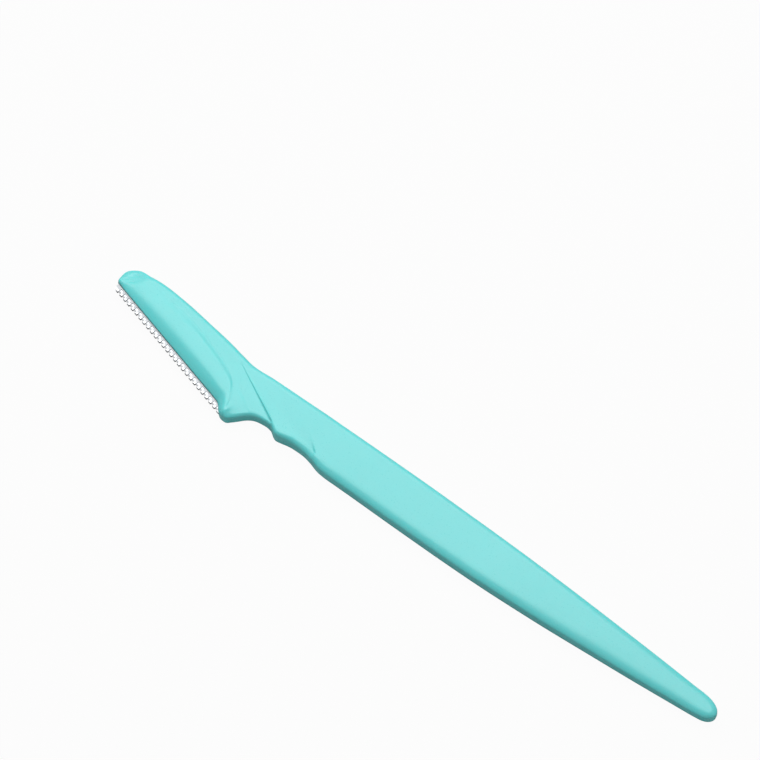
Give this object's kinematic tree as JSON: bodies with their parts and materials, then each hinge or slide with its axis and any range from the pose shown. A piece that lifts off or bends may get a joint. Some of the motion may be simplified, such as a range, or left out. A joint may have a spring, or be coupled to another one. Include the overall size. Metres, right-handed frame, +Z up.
{
  "type": "eyebrow razor",
  "caption": "Slim one-piece moulded plastic eyebrow razor: a tapering grip with a scalloped neck and a leaf-shaped head that holds a short blade behind a folded, windowed steel guard.",
  "frame": {"origin": "on the grip's flat underside, on the handle's axis, at half of the razor's length", "axes": "+X from the tip of the head to the tail, +Y across from the blade side to the back edge, +Z up from the flat that the razor rests on"},
  "size_m": [0.15, 0.0158, 0.0038],
  "materials": {
    "handle_plastic": "smooth semi-gloss moulded polystyrene",
    "blade_steel": "ground and honed stainless strip",
    "guard_steel": "bright rolled stainless sheet, etched windows"
  },
  "bodies": {
    "root": {"handle": "handle_plastic", "blade": "blade_steel", "guard": "guard_steel"}
  },
  "joints": []
}
